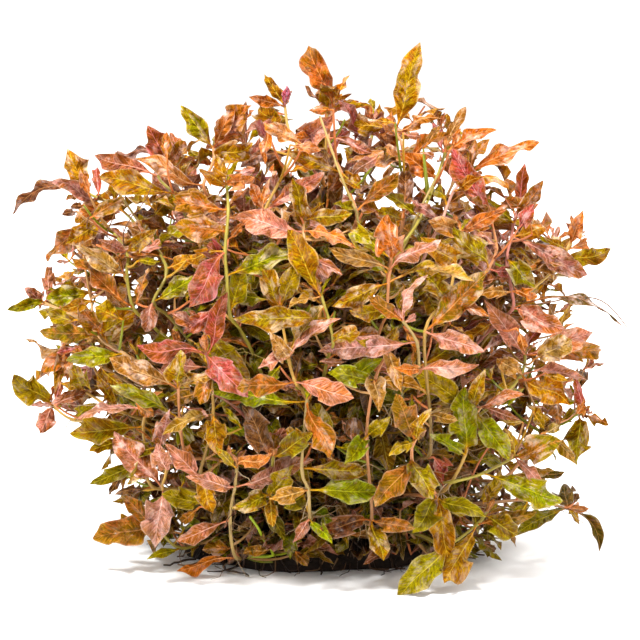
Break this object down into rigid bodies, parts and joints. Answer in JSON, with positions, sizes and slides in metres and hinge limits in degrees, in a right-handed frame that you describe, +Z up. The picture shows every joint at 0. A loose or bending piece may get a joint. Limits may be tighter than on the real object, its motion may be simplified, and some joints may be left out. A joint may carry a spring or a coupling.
{
  "type": "brown hygrophila aquarium plant",
  "caption": "Bushy stem plant for an aquarium: leafy copper, olive and pink shoots that rise from one root clump with a flat underside.",
  "frame": {"origin": "middle of the root clump's flat underside, where the plant stands on the ground", "axes": "+Z up, -Y towards the side that the picture shows, +X to the right in that view"},
  "size_m": [0.3623, 0.2866, 0.3081],
  "materials": {
    "root_clump": "matte, dark, tangled roots",
    "left_crown_shoot": "satin leaf, mottled, with a pale midrib",
    "left_crown_high_shoot": "satin leaf, mottled, with a pale midrib",
    "upper_left_shoot": "satin leaf, mottled, with a pale midrib",
    "tall_green_stem_shoot": "satin leaf, mottled, with a pale midrib",
    "inner_crown_shoot": "satin leaf, mottled, with a pale midrib",
    "middle_crown_shoot": "satin leaf, mottled, with a pale midrib",
    "right_crown_shoot": "satin leaf, mottled, with a pale midrib",
    "slanting_stem_shoot": "satin leaf, mottled, with a pale midrib",
    "pale_stem_shoot": "satin leaf, mottled, with a pale midrib",
    "upper_right_shoot": "satin leaf, mottled, with a pale midrib",
    "right_red_stem_shoot": "satin leaf, mottled, with a pale midrib",
    "far_right_shoot": "satin leaf, mottled, with a pale midrib",
    "left_green_stem_shoot": "satin leaf, mottled, with a pale midrib",
    "far_left_shoot": "satin leaf, mottled, with a pale midrib",
    "left_rosette_shoot": "satin leaf, mottled, with a pale midrib",
    "left_drooping_shoot": "satin leaf, mottled, with a pale midrib",
    "left_forked_shoot": "satin leaf, mottled, with a pale midrib",
    "round_leaf_shoot": "satin leaf, mottled, with a pale midrib",
    "lower_left_shoot": "satin leaf, mottled, with a pale midrib",
    "low_pink_shoot": "satin leaf, mottled, with a pale midrib",
    "lowest_left_shoot": "satin leaf, mottled, with a pale midrib",
    "front_pale_stem_shoot": "satin leaf, mottled, with a pale midrib",
    "middle_left_shoot": "satin leaf, mottled, with a pale midrib",
    "crimson_shoot": "satin leaf, mottled, with a pale midrib",
    "ochre_shoot": "satin leaf, mottled, with a pale midrib",
    "front_middle_shoot": "satin leaf, mottled, with a pale midrib",
    "low_middle_shoot": "satin leaf, mottled, with a pale midrib",
    "cream_leaf_shoot": "satin leaf, mottled, with a pale midrib",
    "long_leaf_shoot": "satin leaf, mottled, with a pale midrib",
    "upper_middle_shoot": "satin leaf, mottled, with a pale midrib",
    "orange_leaf_shoot": "satin leaf, mottled, with a pale midrib",
    "mauve_leaf_shoot": "satin leaf, mottled, with a pale midrib",
    "copper_leaf_shoot": "satin leaf, mottled, with a pale midrib",
    "peach_leaf_shoot": "satin leaf, mottled, with a pale midrib",
    "green_leaf_shoot": "satin leaf, mottled, with a pale midrib",
    "lower_right_shoot": "satin leaf, mottled, with a pale midrib",
    "lowest_right_shoot": "satin leaf, mottled, with a pale midrib",
    "centre_shoot": "satin leaf, mottled, with a pale midrib",
    "wilted_shoot": "satin leaf, mottled, with a pale midrib",
    "right_diamond_shoot": "satin leaf, mottled, with a pale midrib",
    "right_rosette_shoot": "satin leaf, mottled, with a pale midrib",
    "low_back_shoot_1": "satin leaf, mottled, with a pale midrib",
    "low_back_shoot_2": "satin leaf, mottled, with a pale midrib",
    "low_back_shoot_3": "satin leaf, mottled, with a pale midrib",
    "low_back_shoot_4": "satin leaf, mottled, with a pale midrib",
    "low_back_shoot_5": "satin leaf, mottled, with a pale midrib",
    "low_back_shoot_6": "satin leaf, mottled, with a pale midrib",
    "middle_back_shoot_1": "satin leaf, mottled, with a pale midrib",
    "middle_back_shoot_2": "satin leaf, mottled, with a pale midrib",
    "middle_back_shoot_3": "satin leaf, mottled, with a pale midrib",
    "middle_back_shoot_4": "satin leaf, mottled, with a pale midrib",
    "middle_back_shoot_5": "satin leaf, mottled, with a pale midrib",
    "middle_back_shoot_6": "satin leaf, mottled, with a pale midrib",
    "high_back_shoot_1": "satin leaf, mottled, with a pale midrib",
    "high_back_shoot_2": "satin leaf, mottled, with a pale midrib",
    "high_back_shoot_3": "satin leaf, mottled, with a pale midrib",
    "high_back_shoot_4": "satin leaf, mottled, with a pale midrib",
    "top_back_shoot_1": "satin leaf, mottled, with a pale midrib"
  },
  "bodies": {
    "root": {"root_clump": "root_clump", "left_crown_shoot": "left_crown_shoot", "left_crown_high_shoot": "left_crown_high_shoot", "upper_left_shoot": "upper_left_shoot", "tall_green_stem_shoot": "tall_green_stem_shoot", "inner_crown_shoot": "inner_crown_shoot", "middle_crown_shoot": "middle_crown_shoot", "right_crown_shoot": "right_crown_shoot", "slanting_stem_shoot": "slanting_stem_shoot", "pale_stem_shoot": "pale_stem_shoot", "upper_right_shoot": "upper_right_shoot", "right_red_stem_shoot": "right_red_stem_shoot", "far_right_shoot": "far_right_shoot", "left_green_stem_shoot": "left_green_stem_shoot", "far_left_shoot": "far_left_shoot", "left_rosette_shoot": "left_rosette_shoot", "left_drooping_shoot": "left_drooping_shoot", "left_forked_shoot": "left_forked_shoot", "round_leaf_shoot": "round_leaf_shoot", "lower_left_shoot": "lower_left_shoot", "low_pink_shoot": "low_pink_shoot", "lowest_left_shoot": "lowest_left_shoot", "front_pale_stem_shoot": "front_pale_stem_shoot", "middle_left_shoot": "middle_left_shoot", "crimson_shoot": "crimson_shoot", "ochre_shoot": "ochre_shoot", "front_middle_shoot": "front_middle_shoot", "low_middle_shoot": "low_middle_shoot", "cream_leaf_shoot": "cream_leaf_shoot", "long_leaf_shoot": "long_leaf_shoot", "upper_middle_shoot": "upper_middle_shoot", "orange_leaf_shoot": "orange_leaf_shoot", "mauve_leaf_shoot": "mauve_leaf_shoot", "copper_leaf_shoot": "copper_leaf_shoot", "peach_leaf_shoot": "peach_leaf_shoot", "green_leaf_shoot": "green_leaf_shoot", "lower_right_shoot": "lower_right_shoot", "lowest_right_shoot": "lowest_right_shoot", "centre_shoot": "centre_shoot", "wilted_shoot": "wilted_shoot", "right_diamond_shoot": "right_diamond_shoot", "right_rosette_shoot": "right_rosette_shoot", "low_back_shoot_1": "low_back_shoot_1", "low_back_shoot_2": "low_back_shoot_2", "low_back_shoot_3": "low_back_shoot_3", "low_back_shoot_4": "low_back_shoot_4", "low_back_shoot_5": "low_back_shoot_5", "low_back_shoot_6": "low_back_shoot_6", "middle_back_shoot_1": "middle_back_shoot_1", "middle_back_shoot_2": "middle_back_shoot_2", "middle_back_shoot_3": "middle_back_shoot_3", "middle_back_shoot_4": "middle_back_shoot_4", "middle_back_shoot_5": "middle_back_shoot_5", "middle_back_shoot_6": "middle_back_shoot_6", "high_back_shoot_1": "high_back_shoot_1", "high_back_shoot_2": "high_back_shoot_2", "high_back_shoot_3": "high_back_shoot_3", "high_back_shoot_4": "high_back_shoot_4", "top_back_shoot_1": "top_back_shoot_1"}
  },
  "joints": []
}
